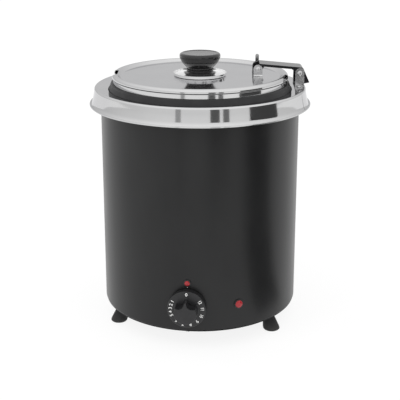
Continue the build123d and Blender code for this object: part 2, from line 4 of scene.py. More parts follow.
import bmesh
import bpy
from mathutils import Matrix, Vector, noise

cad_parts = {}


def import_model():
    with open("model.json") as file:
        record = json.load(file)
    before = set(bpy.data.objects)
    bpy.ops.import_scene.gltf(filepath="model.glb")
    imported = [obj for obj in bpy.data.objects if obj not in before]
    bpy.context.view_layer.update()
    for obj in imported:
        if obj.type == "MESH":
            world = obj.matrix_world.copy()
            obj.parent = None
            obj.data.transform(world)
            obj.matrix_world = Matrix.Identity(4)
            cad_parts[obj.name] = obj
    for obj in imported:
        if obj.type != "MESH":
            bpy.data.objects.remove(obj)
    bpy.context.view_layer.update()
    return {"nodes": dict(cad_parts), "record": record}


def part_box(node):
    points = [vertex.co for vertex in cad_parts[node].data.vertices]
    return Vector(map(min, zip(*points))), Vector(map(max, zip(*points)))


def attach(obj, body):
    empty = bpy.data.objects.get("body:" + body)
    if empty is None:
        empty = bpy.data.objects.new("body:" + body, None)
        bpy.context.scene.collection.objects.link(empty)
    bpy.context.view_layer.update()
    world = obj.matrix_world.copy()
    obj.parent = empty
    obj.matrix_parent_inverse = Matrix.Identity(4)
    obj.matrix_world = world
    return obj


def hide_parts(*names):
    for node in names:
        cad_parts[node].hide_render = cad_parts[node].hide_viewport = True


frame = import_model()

# Looks of the soup kettle: finishes, turned sheet pieces, printed dial, small details, studio, camera.
# The scene is in metres, in the CAD's frame. Outlines and places are given in millimetres.

MM = 0.001
MICRON = 0.000001
COLLAR_TURN = Matrix.Rotation(radians(7), 4, "Z")   # how the collar, the lid and their hinge stand
STRAIGHT = Matrix.Identity(4)

dial_low, dial_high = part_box("control_knob")
DIAL_Z = (dial_low.z + dial_high.z) / 2 / MM
BODY_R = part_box("outer_shell")[1].x / MM


# ---- node graphs --------------------------------------------------------------------------
class Finish:
    """A node material. Constants sit on the shader's own sockets, patterns are wired into them."""

    def __init__(self, name, **sockets):
        self.material = bpy.data.materials.new(name)
        self.material.use_nodes = True
        self.tree = self.material.node_tree
        self.shader = self.tree.nodes["Principled BSDF"]
        for socket, value in sockets.items():
            self.set(socket.replace("_", " "), value)
        self.normal = None
        self.place = self.node("TexCoord").outputs["Object"]

    def set(self, socket, value):
        """One of the shader's own sockets, by name."""
        self.feed(self.shader.inputs[socket], value)

    def feed(self, socket, value):
        """Wires a socket to another node's output, or sets it to a plain value."""
        if isinstance(value, bpy.types.NodeSocket):
            self.tree.links.new(value, socket)
        elif socket.type == "RGBA" and len(value) == 3:
            socket.default_value = (*value, 1.0)
        else:
            socket.default_value = value

    def node(self, kind, inputs=None, **settings):
        """A new node, with its inputs fed and its settings made."""
        node = self.tree.nodes.new("ShaderNode" + kind)
        for name, value in settings.items():
            setattr(node, name, value)
        for name, value in (inputs or {}).items():
            self.feed(node.inputs[name], value)
        return node

    def stretched(self, x, y, z):
        """Object coordinates times a scale on each axis: a small scale draws a pattern out."""
        return self.node("Mapping", {"Vector": self.place, "Scale": (x, y, z)}).outputs[0]

    def turned(self, across, along):
        """Coordinates about the kettle's axis: fine across the turning marks, long along them."""
        split = self.node("SeparateXYZ", {0: self.place})
        flat = self.node("CombineXYZ", {0: split.outputs[0], 1: split.outputs[1]})
        radius = self.node("VectorMath", {0: flat.outputs[0]}, operation="LENGTH")
        angle = self.node("Math", {0: split.outputs[1], 1: split.outputs[0]}, operation="ARCTAN2")
        height = split.outputs[2]
        rings = self.node("CombineXYZ", {0: radius.outputs["Value"], 1: angle.outputs[0], 2: height})
        wanted = {"Vector": rings.outputs[0], "Scale": (across, along, across)}
        return self.node("Mapping", wanted).outputs[0]

    def noise(self, scale, detail=2.0, vector=None, rough=0.5):
        """A noise pattern, over object coordinates unless others are given."""
        wanted = {"Vector": vector or self.place, "Scale": scale, "Detail": detail, "Roughness": rough}
        return self.node("TexNoise", wanted).outputs[0]

    def spread(self, value, low, high, start=0.3, end=0.7):
        """A pattern's middle range mapped to run from low to high."""
        wanted = {"Value": value, "From Min": start, "From Max": end, "To Min": low, "To Max": high}
        return self.node("MapRange", wanted).outputs[0]

    def mixed(self, share, first, second):
        """Two colours mixed by a pattern: the first where it is 0, the second where it is 1."""
        node = self.node("Mix", data_type="RGBA")
        self.feed(node.inputs[0], share)
        self.feed(node.inputs[6], first)
        self.feed(node.inputs[7], second)
        return node.outputs[2]

    def colour(self, pattern, first, second, start=0.3, end=0.7):
        """The base colour, from the first to the second as the pattern goes from start to end."""
        share = self.spread(pattern, 0, 1, start, end)
        self.set("Base Color", self.mixed(share, first, second))

    def bump(self, height, depth):
        """Relief of that depth in microns; later calls stack on earlier ones."""
        wanted = {"Height": height, "Strength": 1.0, "Distance": depth * MICRON}
        if self.normal is not None:
            wanted["Normal"] = self.normal
        self.normal = self.node("Bump", wanted).outputs[0]
        self.set("Normal", self.normal)


# ---- finishes -----------------------------------------------------------------------------
def powder_coat():
    """Satin black powder coat: orange peel, and patches that are a touch greyer from wiping."""
    paint = Finish("powder_coat", Specular_IOR_Level=0.34)
    patches = paint.noise(22, 4, paint.stretched(1, 1, 0.5))
    paint.colour(patches, (0.0065, 0.0065, 0.007), (0.0105, 0.0107, 0.011))
    paint.set("Roughness", paint.spread(patches, 0.29, 0.35))
    paint.bump(paint.noise(620, 3), 35)
    paint.bump(paint.noise(2600, 2), 12)
    return paint.material


def polished_steel():
    """Polished stainless sheet, with faint turning marks and wiping haze."""
    steel = Finish("polished_steel", Metallic=1.0, Specular_Tint=(0.86, 0.86, 0.87))
    marks = steel.noise(1.0, 4, steel.turned(across=1900, along=5))
    haze = steel.noise(16, 4)
    steel.colour(haze, (0.585, 0.585, 0.59), (0.63, 0.63, 0.63))
    streaks = steel.spread(marks, 0.0, 0.03)
    cloudy = steel.spread(haze, 0.05, 0.085)
    steel.set("Roughness", steel.node("Math", {0: streaks, 1: cloudy}, operation="ADD").outputs[0])
    steel.bump(marks, 1.5)
    return steel.material


def strip_steel(name, dark, light):
    """Pressed stainless strip: straight grain from rolling and a softer shine."""
    steel = Finish(name, Metallic=1.0)
    grain = steel.noise(1.0, 4, steel.stretched(260, 2600, 2600))
    wear = steel.noise(130, 3)
    steel.colour(wear, dark, light)
    steel.set("Roughness", steel.spread(grain, 0.13, 0.22))
    steel.bump(grain, 4)
    return steel.material


def blackened_steel():
    """The arm's strip: grey metal on faces that look up, with painted shade, a near black, on faces
    that look sideways or down, such as the flanges. On the collar's weld seam the same near black gives
    the seam's own dark line.
    """
    steel = Finish("blackened_steel", Metallic=1.0)
    grain = steel.noise(1.0, 4, steel.stretched(260, 2600, 2600))
    # Painted shade: how far a face looks up sets its colour, near black on the flanges, grey metal on
    # top.
    upward = steel.node("SeparateXYZ", {0: steel.node("NewGeometry").outputs["Normal"]}).outputs[2]
    top = steel.spread(upward, 0, 1, start=0.5, end=0.9)
    metal = steel.mixed(steel.spread(grain, 0, 1), (0.13, 0.13, 0.134), (0.20, 0.20, 0.20))
    steel.set("Base Color", steel.mixed(top, (0.035, 0.035, 0.037), metal))
    steel.set("Roughness", steel.spread(grain, 0.18, 0.28))
    steel.bump(grain, 5)
    return steel.material


def satin_steel():
    """Brushed bright stainless of the dish under the knob."""
    steel = Finish("satin_steel", Metallic=1.0)
    marks = steel.noise(1.0, 2, steel.turned(across=2600, along=2))
    haze = steel.noise(40, 3)
    steel.colour(haze, (0.90, 0.90, 0.905), (0.95, 0.95, 0.95))
    steel.set("Roughness", steel.spread(marks, 0.10, 0.14))
    steel.bump(marks, 0.6)
    return steel.material


def drawn_pan():
    """Deep-drawn pan: satin skin with draw marks up the wall and faint scouring."""
    steel = Finish("drawn_pan", Metallic=1.0)
    draw = steel.noise(1.0, 4, steel.stretched(420, 420, 9))
    scour = steel.noise(1.0, 3, steel.turned(across=900, along=14))
    steel.colour(scour, (0.72, 0.72, 0.725), (0.80, 0.80, 0.80))
    steel.set("Roughness", steel.spread(draw, 0.22, 0.28))
    steel.bump(draw, 1.5)
    return steel.material


def zinc_plate():
    """Bright zinc: crystalline patches with a cold, slightly yellow cast."""
    zinc = Finish("zinc_plate", Metallic=1.0)
    cells = zinc.node("TexVoronoi", {"Vector": zinc.place, "Scale": 700}).outputs["Distance"]
    zinc.colour(cells, (0.62, 0.63, 0.66), (0.50, 0.49, 0.44), start=0, end=0.8)
    zinc.set("Roughness", zinc.spread(cells, 0.24, 0.40, start=0, end=0.8))
    zinc.bump(zinc.noise(1500, 3), 8)
    return zinc.material


def turned_aluminium():
    """Turned plate: fine rings and a dull, grey skin."""
    plate = Finish("turned_aluminium", Metallic=1.0)
    rings = plate.noise(1.0, 3, plate.turned(across=1200, along=1))
    plate.colour(rings, (0.60, 0.60, 0.61), (0.72, 0.72, 0.73))
    plate.set("Roughness", plate.spread(rings, 0.30, 0.44))
    plate.bump(rings, 20)
    return plate.material


def heated_steel():
    """Element sheath after its first heating: straw and blue over dark oxide."""
    sheath = Finish("heated_steel", Metallic=0.9)
    bands = sheath.noise(24, 3)
    scale = sheath.noise(900, 4)
    temper = sheath.mixed(sheath.spread(bands, 0, 1), (0.26, 0.19, 0.12), (0.16, 0.17, 0.22))
    sheath.set("Base Color", sheath.mixed(sheath.spread(scale, 0, 0.6), temper, (0.08, 0.075, 0.07)))
    sheath.set("Roughness", sheath.spread(scale, 0.36, 0.58))
    sheath.bump(scale, 20)
    return sheath.material


def phenolic():
    """Polished black phenolic: deep gloss with light rub marks round the grip."""
    resin = Finish("phenolic", Specular_IOR_Level=0.36, Coat_Weight=0.3, Coat_Roughness=0.08)
    rubs = resin.noise(1.0, 4, resin.turned(across=500, along=6))
    cloud = resin.noise(90, 3)
    resin.colour(cloud, (0.009, 0.009, 0.010), (0.015, 0.0145, 0.0145))
    resin.set("Roughness", resin.spread(rubs, 0.14, 0.24))
    resin.bump(rubs, 4)
    return resin.material


def moulded_black():
    """Injection-moulded nylon with a spark-eroded texture."""
    plastic = Finish("moulded_black", Specular_IOR_Level=0.45)
    spark = plastic.noise(3200, 3)
    cloud = plastic.noise(150, 3)
    plastic.colour(cloud, (0.010, 0.010, 0.011), (0.016, 0.016, 0.017))
    plastic.set("Roughness", plastic.spread(spark, 0.30, 0.44))
    plastic.bump(spark, 18)
    return plastic.material


def seat_polymer():
    """Turned heat-resistant ring under the lid: dark grey, matt, with faint tool marks. Its dark tone
    is the ring's own and also painted shade for the gap between the lid and the collar.
    """
    ring = Finish("seat_polymer", Specular_IOR_Level=0.35)
    tool = ring.noise(1.0, 2, ring.turned(across=1400, along=1))
    cloud = ring.noise(60, 3)
    # Near black: the ring's own tone, and painted shade of the gap under the lid.
    ring.colour(cloud, (0.014, 0.014, 0.015), (0.023, 0.023, 0.024))
    ring.set("Roughness", ring.spread(tool, 0.42, 0.56))
    ring.bump(tool, 10)
    return ring.material


def rubber():
    """Moulded rubber, with dust towards the sole."""
    foot = Finish("rubber", Specular_IOR_Level=0.3)
    speck = foot.noise(1700, 4)
    height = foot.node("SeparateXYZ", {0: foot.place}).outputs[2]
    dust = foot.spread(height, 1, 0, start=0, end=0.012)
    patch = foot.node("Math", {0: dust, 1: foot.noise(260, 4)}, operation="MULTIPLY").outputs[0]
    foot.set("Base Color", foot.mixed(patch, (0.013, 0.013, 0.0135), (0.05, 0.049, 0.047)))
    foot.set("Roughness", foot.spread(speck, 0.58, 0.78))
    foot.bump(speck, 40)
    return foot.material


def red_lens():
    """Red lens over a neon lamp, slightly uneven inside."""
    lens = Finish("red_lens", Specular_IOR_Level=0.4, Coat_Weight=0.15, Coat_Roughness=0.08)
    cloud = lens.noise(700, 2)
    lens.colour(cloud, (0.27, 0.012, 0.018), (0.34, 0.020, 0.026))
    lens.set("Roughness", lens.spread(cloud, 0.12, 0.22))
    lens.bump(lens.noise(2400, 2), 10)
    return lens.material


def nylon(name, dark, light, roughness):
    """Moulded nylon: a little mottled and waxy."""
    plastic = Finish(name, Specular_IOR_Level=0.45, Subsurface_Weight=0.08, Subsurface_Scale=0.001)
    cloud = plastic.noise(170, 4)
    plastic.colour(cloud, dark, light)
    plastic.set("Roughness", plastic.spread(cloud, roughness - 0.06, roughness + 0.06))
    plastic.bump(plastic.noise(2400, 3), 10)
    return plastic.material


def mineral_wool():
    """Pressed fibres: short strands, paler and darker by turns."""
    wool = Finish("mineral_wool", Sheen_Weight=0.3, Sheen_Roughness=0.5)
    strands = wool.noise(1.0, 5, wool.stretched(900, 900, 260), rough=0.65)
    clumps = wool.noise(60, 4)
    strand_colour = wool.mixed(wool.spread(strands, 0, 1), (0.42, 0.38, 0.25), (0.74, 0.70, 0.56))
    wool.set("Base Color", wool.mixed(wool.spread(clumps, 0, 0.4), strand_colour, (0.50, 0.47, 0.36)))
    wool.set("Roughness", wool.spread(strands, 0.85, 0.98))
    wool.bump(strands, 600)
    wool.bump(clumps, 800)
    return wool.material


def cable_pvc(name, dark, light):
    """Extruded wire insulation: drawn-out gloss along the wire."""
    skin = Finish(name, Specular_IOR_Level=0.5)
    drawn = skin.noise(420, 3)
    skin.colour(drawn, dark, light)
    skin.set("Roughness", skin.spread(drawn, 0.30, 0.42))
    skin.bump(skin.noise(1600, 2), 10)
    return skin.material


def earth_pvc():
    """Green insulation with a yellow stripe wound along it."""
    skin = Finish("earth_pvc", Specular_IOR_Level=0.5)
    stripe = skin.node("TexWave", {"Vector": skin.place, "Scale": 60.0, "Distortion": 1.0}).outputs[1]
    skin.colour(stripe, (0.03, 0.22, 0.03), (0.72, 0.62, 0.03), start=0.55, end=0.62)
    skin.set("Roughness", skin.spread(skin.noise(420, 3), 0.30, 0.42))
    skin.bump(skin.noise(1600, 2), 10)
    return skin.material


def drawn_copper():
    """Drawn copper gone slightly brown with age."""
    copper = Finish("drawn_copper", Metallic=1.0)
    tarnish = copper.noise(200, 5)
    copper.colour(tarnish, (0.80, 0.42, 0.27), (0.42, 0.22, 0.14))
    copper.set("Roughness", copper.spread(tarnish, 0.22, 0.40))
    copper.bump(copper.noise(1500, 3), 8)
    return copper.material


def printed_white():
    """Screen-printed marks, slightly uneven at the edge of the ink."""
    ink = Finish("printed_white", Specular_IOR_Level=0.4)
    cover = ink.noise(1500, 3)
    ink.colour(cover, (0.84, 0.84, 0.82), (0.93, 0.93, 0.92))
    ink.set("Roughness", ink.spread(cover, 0.42, 0.58))
    ink.bump(cover, 6)
    return ink.material


FINISHES = {
    "painted_steel": powder_coat(),
    "stainless": polished_steel(),
    "steel_strip": strip_steel("strip_steel", (0.52, 0.52, 0.525), (0.64, 0.64, 0.64)),
    "satin_steel": satin_steel(),
    "drawn_pan": drawn_pan(),
    "blackened_steel": blackened_steel(),
    "zinc_steel": zinc_plate(),
    "aluminium": turned_aluminium(),
    "element_steel": heated_steel(),
    "black_phenolic": phenolic(),
    "black_plastic": moulded_black(),
    "seat_polymer": seat_polymer(),
    "foot_rubber": rubber(),
    "red_lens": red_lens(),
    "white_nylon": nylon("white_nylon", (0.66, 0.65, 0.60), (0.78, 0.77, 0.73), 0.45),
    "grey_nylon": nylon("grey_nylon", (0.018, 0.018, 0.019), (0.030, 0.030, 0.032), 0.48),
    "mineral_wool": mineral_wool(),
    "brown_pvc": cable_pvc("brown_pvc", (0.10, 0.035, 0.015), (0.14, 0.055, 0.025)),
    "blue_pvc": cable_pvc("blue_pvc", (0.02, 0.08, 0.32), (0.04, 0.12, 0.42)),
    "green_pvc": earth_pvc(),
    "copper": drawn_copper(),
    "printed_white": printed_white(),
}

# CAD nodes whose finish isn't their material slot's
OWN_FINISH = {
    # the arm's flanges get painted shade from this finish
    "hinge_arm": "blackened_steel",
    "base_screws": "painted_steel",
    "soup_pot": "drawn_pan",
    "well": "drawn_pan",
}


def dress_cad_nodes():
    """Every carried-over node gets its material slot's finish, apart from a few with their own."""
    for subpart in frame["record"]["subparts"]:
        node = subpart["node"]
        mesh = frame["nodes"][node].data
        mesh.materials.clear()
        mesh.materials.append(FINISHES[OWN_FINISH.get(node, subpart["material_slot"])])


# ---- mesh helpers -------------------------------------------------------------------------
TURN_STEPS = 288              # facets round a turned piece
ARC_STEP = radians(6)         # one facet of a rounded corner
SHARP_ANGLE = radians(30)
ON_AXIS = 0.001               # millimetres
STRIP_STEPS = 8               # facets across a strip on a wall
STRIP_SUNK = 0.05             # how far its edges lie in the wall, in millimetres


def bent(points):
    """A path in (radius, height) millimetres; a third number rounds that corner."""
    path = []
    for index, point in enumerate(points):
        here = Vector(point[:2])
        if len(point) < 3:
            path.append(here)
            continue
        back = (Vector(points[index - 1][:2]) - here).normalized()
        ahead = (Vector(points[(index + 1) % len(points)][:2]) - here).normalized()
        half = back.angle(ahead) / 2
        centre = here + (back + ahead).normalized() * point[2] / sin(half)
        start = here + back * point[2] / tan(half) - centre
        sweep = start.angle_signed(here + ahead * point[2] / tan(half) - centre)
        steps = max(2, round(abs(sweep) / ARC_STEP))
        for step in range(steps + 1):
            turn = -sweep * step / steps
            path.append(centre + Matrix.Rotation(turn, 2) @ start)
    return path


def sheet(path, thickness):
    """A closed outline of sheet metal, its thickness laid to the left of the path."""
    inner = []
    for index, here in enumerate(path):
        before = path[max(index - 1, 0)]
        after = path[min(index + 1, len(path) - 1)]
        along = (after - before).normalized()
        inner.append(here + Vector((-along.y, along.x)) * thickness)
    return path + inner[::-1]


def turned_mesh(name, outline, closed=True):
    """A mesh turned about Z from a path in millimetres. A point on the axis becomes one vertex."""
    shape = bmesh.new()
    rings = []
    for radius, height in outline:
        count = 1 if radius < ON_AXIS else TURN_STEPS
        ring = []
        for step in range(count):
            angle = 2 * pi * step / TURN_STEPS
            place = (radius * cos(angle) * MM, radius * sin(angle) * MM, height * MM)
            ring.append(shape.verts.new(place))
        rings.append(ring)
    pairs = list(zip(rings, rings[1:]))
    if closed:
        pairs.append((rings[-1], rings[0]))
    for low, high in pairs:
        if len(low) == 1 and len(high) == 1:
            continue
        for step in range(TURN_STEPS):
            after = (step + 1) % TURN_STEPS
            below = (low[step % len(low)], low[after % len(low)])
            above = (high[after % len(high)], high[step % len(high)])
            shape.faces.new(dict.fromkeys(below + above))
    bmesh.ops.recalc_face_normals(shape, faces=shape.faces[:])
    return finished_mesh(name, shape)


def finished_mesh(name, shape):
    """A bmesh as a mesh, smooth apart from its sharp edges."""
    mesh = bpy.data.meshes.new(name)
    shape.to_mesh(mesh)
    shape.free()
    mesh.shade_smooth()
    mesh.set_sharp_from_angle(angle=SHARP_ANGLE)
    return mesh


def placed(name, mesh, places):
    """One mesh repeated at several places."""
    shape = bmesh.new()
    for place in places:
        copy = mesh.copy()
        copy.transform(place)
        shape.from_mesh(copy)
    return finished_mesh(name, shape)


def out_of_wall(radius, angle, height):
    """A place on a round wall, local +Z pointing outwards. The angle is in degrees from +X."""
    a = radians(angle)
    outward = Vector((cos(a), sin(a), 0))
    place = outward.to_track_quat("Z", "Y").to_matrix().to_4x4()
    return Matrix.Translation(outward * radius * MM + Vector((0, 0, height * MM))) @ place


def wall_strip(name, path, angle, width, proud):
    """A low rounded strip that follows a path in (radius, height) up a turned wall."""
    shape = bmesh.new()
    rows = []
    for radius, height in path:
        row = []
        for step in range(STRIP_STEPS + 1):
            side = 2 * step / STRIP_STEPS - 1
            a = radians(angle) + side * width / 2 / radius
            r = radius - STRIP_SUNK + (proud + STRIP_SUNK) * (1 - side**4)
            row.append(shape.verts.new((r * cos(a) * MM, r * sin(a) * MM, height * MM)))
        rows.append(row)
    for low, high in zip(rows, rows[1:]):
        for step in range(STRIP_STEPS):
            shape.faces.new((low[step], low[step + 1], high[step + 1], high[step]))
    return finished_mesh(name, shape)


def piece(name, mesh, finish, body, replaced=None, place=STRAIGHT):
    """A piece that rides on a body: a detail, or one that stands for a CAD node, which is hidden."""
    mesh.transform(place)
    item = bpy.data.objects.new(name, mesh)
    bpy.context.scene.collection.objects.link(item)
    mesh.materials.clear()
    mesh.materials.append(finish)
    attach(item, body)
    if replaced:
        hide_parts(replaced)
    return item


# ---- collar, lid and knob -----------------------------------------------------------------
# Outlines in (radius, height); a third number rounds that corner.
COLLAR_SHEET = 1.0
COLLAR_WALL = ((141.6, 287.6), (139.0, 291.5, 12), (136.9, 301.0, 60), (135.6, 310.6, 2.6))
COLLAR_TOP = ((117.5, 307.2, 1.6), (117.5, 297.1))
ROLLED_LIP = ((142.5, 287.4, 0.99), (142.5, 289.4, 0.99), (140.5, 289.4, 0.99), (140.5, 287.4, 0.99))
WELD_SEAM = COLLAR_WALL[:-1] + ((135.9, 308.0),)
WELD_SEAM_ANGLE = -14.7
SEAT = ((105, 301.2, 0.8), (117.3, 301.2, 0.8), (117.3, 307.5, 0.8), (114.4, 315, 0.8), (105, 315, 0.8))
LID_SHEET = 0.8
LID_SKIRT = ((112.2, 315.3), (112.2, 320.6, 1.0), (113.4, 321.8, 1.2))
LID_RIM = ((113.4, 326.8, 4.2), (107.0, 326.8, 4), (102.5, 322.8, 4), (0, 322.8))
DISH = ((2.7, 322.8), (33.6, 322.8, 2.2), (34.1, 327.0))
KNOB_FOOT = ((2.6, 323.65), (13.0, 323.65, 2.0), (19.9, 324.8, 0.7), (19.7, 326.9, 0.9))
KNOB_NECK = ((16.9, 328.2, 0.5), (16.9, 329.7, 0.3), (16.3, 330.2, 0.3), (16.9, 330.8, 0.3))
KNOB_HEAD = ((17.0, 333.2, 2.5), (23.2, 339.6, 14.0), (26.4, 346.5, 8.0), (26.4, 352.0, 3.6))
KNOB_TOP = ((22.6, 352.0, 0.5), (21.2, 351.3, 0.8), (0, 351.3), (0, 343.0), (2.6, 343.0))

# The ladle notch is cut from the lid's rim inwards to this radius.
NOTCH_R = 105.8
NOTCH_HALF = 17.0
NOTCH_CORNER = 4.0
NOTCH_MARGIN = 6.0            # faces this far outside it are left whole


def collar():
    mesh = turned_mesh("polished_collar", sheet(bent(COLLAR_WALL + COLLAR_TOP), COLLAR_SHEET))
    piece("polished_collar", mesh, FINISHES["stainless"], "collar", "ring_collar")
    piece("rolled_lip", turned_mesh("rolled_lip", bent(ROLLED_LIP)), FINISHES["stainless"], "collar")
    seam = wall_strip("collar_seam", bent(WELD_SEAM), WELD_SEAM_ANGLE, width=1.2, proud=0.06)
    # The weld seam's dark line comes from the steel whose sideways faces are painted near black.
    piece("collar_seam", seam, FINISHES["blackened_steel"], "collar")


def seat():
    # A dark ring under the lid's skirt; its dark tone also stands in for the shade in the gap there.
    mesh = turned_mesh("seat_band", bent(SEAT))
    piece("seat_band", mesh, FINISHES["seat_polymer"], "collar", "lid_seat_ring")


def notch_edges():
    """The notch's edges as (point, outward direction), its two inner corners rounded."""
    edges = [(Vector((-NOTCH_R, 0)), Vector((1, 0)))]
    for side in (-1, 1):
        edges.append((Vector((-NOTCH_R, side * NOTCH_HALF)), Vector((0, side))))
        centre = Vector((-NOTCH_R - NOTCH_CORNER, side * (NOTCH_HALF - NOTCH_CORNER)))
        for degrees in range(10, 90, 10):
            a = radians(degrees)
            away = Vector((cos(a), side * sin(a)))
            edges.append((centre + away * NOTCH_CORNER, away))
    return edges


def cut_notch(shape):
    """Cuts the skin's faces along the notch's edges and takes out those inside it."""
    edges = notch_edges()
    for point, away in edges:
        near = []
        for face in shape.faces:
            middle = face.calc_center_median() / MM
            if middle.x < NOTCH_MARGIN - NOTCH_R and abs(middle.y) < NOTCH_HALF + NOTCH_MARGIN:
                near.append(face)
        sides = {edge for face in near for edge in face.edges}
        corners = {corner for face in near for corner in face.verts}
        touched = [*near, *sides, *corners]
        bmesh.ops.bisect_plane(shape, geom=touched, plane_co=(*point * MM, 0), plane_no=(*away, 0))
    inside = []
    for face in shape.faces:
        middle = face.calc_center_median().xy / MM
        if all((middle - point).dot(away) < 0 for point, away in edges):
            inside.append(face)
    bmesh.ops.delete(shape, geom=inside, context="FACES")


def lid():
    """The lid's outer skin is cut for the ladle notch first, then thickened inwards."""
    skin = turned_mesh("polished_lid", bent(LID_SKIRT + LID_RIM), closed=False)
    shape = bmesh.new()
    shape.from_mesh(skin)
    if sum(face.normal.z * face.calc_area() for face in shape.faces) < 0:
        bmesh.ops.reverse_faces(shape, faces=shape.faces[:])
    cut_notch(shape)
    bmesh.ops.solidify(shape, geom=shape.faces[:], thickness=LID_SHEET * MM)
    mesh = finished_mesh("polished_lid", shape)
    piece("polished_lid", mesh, FINISHES["stainless"], "lid", "lid_shell", COLLAR_TURN)


def dish():
    mesh = turned_mesh("satin_dish", sheet(bent(DISH), LID_SHEET))
    piece("satin_dish", mesh, FINISHES["satin_steel"], "lid", "knob_dish")


def knob():
    mesh = turned_mesh("phenolic_knob", bent(KNOB_FOOT + KNOB_NECK + KNOB_HEAD + KNOB_TOP))
    piece("phenolic_knob", mesh, FINISHES["black_phenolic"], "lid", "lid_knob")


# ---- details on the lid's ears, drawn before the collar's turn ----------------------------
WELD_MARK = ((0, 0.10), (1.2, 0.10, 0.3), (1.9, -0.05), (0, -0.05))
WELD_X = (71.4, 76.4)
WELD_Y = 26.5
EAR_FOOT_Z = 324.3            # top of the foot that is welded to the lid
EAR_X = (68.15, 79.45)
EAR_BEND_CORNER = (15.7, 324.2)     # (distance from the hinge's middle, height)
EAR_BEND_CENTRE = (17.9, 326.4)
EAR_BEND_R = 2.1
EAR_BEND_STEPS = 8


def spot_welds():
    """Two electrode marks on the foot of each lid ear."""
    mark = turned_mesh("mark", bent(WELD_MARK))
    places = []
    for side in (-1, 1):
        for x in WELD_X:
            places.append(Matrix.Translation((x * MM, side * WELD_Y * MM, EAR_FOOT_Z * MM)))
    mesh = placed("spot_welds", mark, places)
    piece("spot_welds", mesh, FINISHES["steel_strip"], "lid", place=COLLAR_TURN)


def ear_bends():
    """The hollow of the press bend between each lid ear and its foot."""
    profile = [EAR_BEND_CORNER]
    y, z = EAR_BEND_CENTRE
    for step in range(EAR_BEND_STEPS + 1):
        a = pi / 2 * step / EAR_BEND_STEPS
        profile.append((y - EAR_BEND_R * cos(a), z - EAR_BEND_R * sin(a)))
    shape = bmesh.new()
    for side in (-1, 1):
        ends = []
        for x in EAR_X:
            ends.append([shape.verts.new((x * MM, side * y * MM, z * MM)) for y, z in profile])
            shape.faces.new(ends[-1])
        for index in range(len(profile)):
            after = (index + 1) % len(profile)
            shape.faces.new((ends[0][index], ends[0][after], ends[1][after], ends[1][index]))
    bmesh.ops.recalc_face_normals(shape, faces=shape.faces[:])
    mesh = finished_mesh("ear_bends", shape)
    piece("ear_bends", mesh, FINISHES["steel_strip"], "lid", place=COLLAR_TURN)


# ---- casing details -----------------------------------------------------------------------
FRONT = -90                   # degrees from +X
# name, radius of the lens, angle from +X, height
LAMPS = (("power", 3.7, FRONT, 88.6), ("heat", 5.2, -61, DIAL_Z))
BEZEL_OVERLAP = 0.35          # over the lens's edge
BEZEL_REACH = 1.1             # past the lens's edge
MARK_HEIGHTS = (82.6, 84.8)
LOCK_SEAM_HEIGHTS = (27.5, 28.5, 291.5, 292.5)
LOCK_SEAM_ANGLE = 62


def lamp_bezels():
    """Black bezels round the two lenses."""
    for name, lens_r, angle, height in LAMPS:
        inner = lens_r - BEZEL_OVERLAP
        outer = lens_r + BEZEL_REACH
        ring = bent(((inner, -0.4), (outer, -0.4), (outer - 0.2, 1.3, 0.4), (inner, 1.6, 0.3)))
        mesh = turned_mesh(f"{name}_bezel", ring)
        place = out_of_wall(BODY_R, angle, height)
        piece(f"{name}_bezel", mesh, FINISHES["black_plastic"], "base", place=place)


def index_mark():
    """The printed mark above the dial that its numbers are read against."""
    path = [(BODY_R, height) for height in MARK_HEIGHTS]
    mark = wall_strip("index_mark", path, FRONT, width=0.8, proud=0.04)
    piece("index_mark", mark, FINISHES["printed_white"], "base")


def casing_seam():
    """Folded lock seam up the back of the casing, beside the gland."""
    path = [(BODY_R, height) for height in LOCK_SEAM_HEIGHTS]
    seam = wall_strip("casing_seam", path, LOCK_SEAM_ANGLE, width=7.0, proud=0.55)
    piece("casing_seam", seam, FINISHES["painted_steel"], "base")


# ---- insulation ---------------------------------------------------------------------------
BLANKET = ((115.0, 97.5, 3), (125.4, 97.5, 4), (125.4, 282.5, 4), (115.0, 282.5, 3))
BLANKET_MIDDLE_R = 120.2
BLANKET_GRID = 4.0            # spacing of the points along its outline
LUMPS = ((45, 0.9), (160, 0.35))    # how many to the metre, and how deep
TIE_PITCH = 62.0              # between the bands that hold it
TIE_EDGE = 0.9                # where the bands begin on a cosine wave of that pitch
TIE_PULL = 6.0


def dented(place):
    """A point of the blanket, drawn in towards the blanket's middle by lumps and by the ties."""
    lump = sum(noise.noise(place * often) * depth for often, depth in LUMPS)
    tie = max(cos(place.z / MM * 2 * pi / TIE_PITCH) - TIE_EDGE, 0) * TIE_PULL
    inward = place.xy.normalized() * BLANKET_MIDDLE_R * MM - place.xy
    if inward.length < 2 * MM:
        return place
    return place + (inward.normalized() * (0.5 + lump * 0.5 + tie) * MM).to_3d()


def blanket():
    """The insulation as a lumpy, tied blanket inside the casing."""
    ring = bent(BLANKET)
    path = []
    for here, after in zip(ring, ring[1:] + ring[:1]):
        steps = max(1, round((after - here).length / BLANKET_GRID))
        path += [here.lerp(after, step / steps) for step in range(steps)]
    mesh = turned_mesh("wool_blanket", path)
    for vertex in mesh.vertices:
        vertex.co = dented(vertex.co)
    wool = FINISHES["mineral_wool"]
    item = piece("wool_blanket", mesh, wool, "base", "insulation_wrap")


# ---- printed dial -------------------------------------------------------------------------
DIGIT_HEIGHT = 4.3
DIGIT_RING_R = 19.9
DIGIT_THICKNESS = 0.08
TWO_DIGIT_WIDTH = 0.8         # 10 to 12 are drawn narrower
INK_SPREAD = 0.018            # thickens the strokes, in the font's own units
DIAL_FACE_Y = -137.5
UPRIGHT = Matrix.Rotation(pi / 2, 4, "X")      # a flat print turned to face the front
FIRST_NUMBER_ANGLE = 59.0     # degrees from 0 to 1, anticlockwise as seen from the front
LOW_STEP = 13.75              # from 1 to 5
HIGH_STEP = 27.0              # from 5 to 12


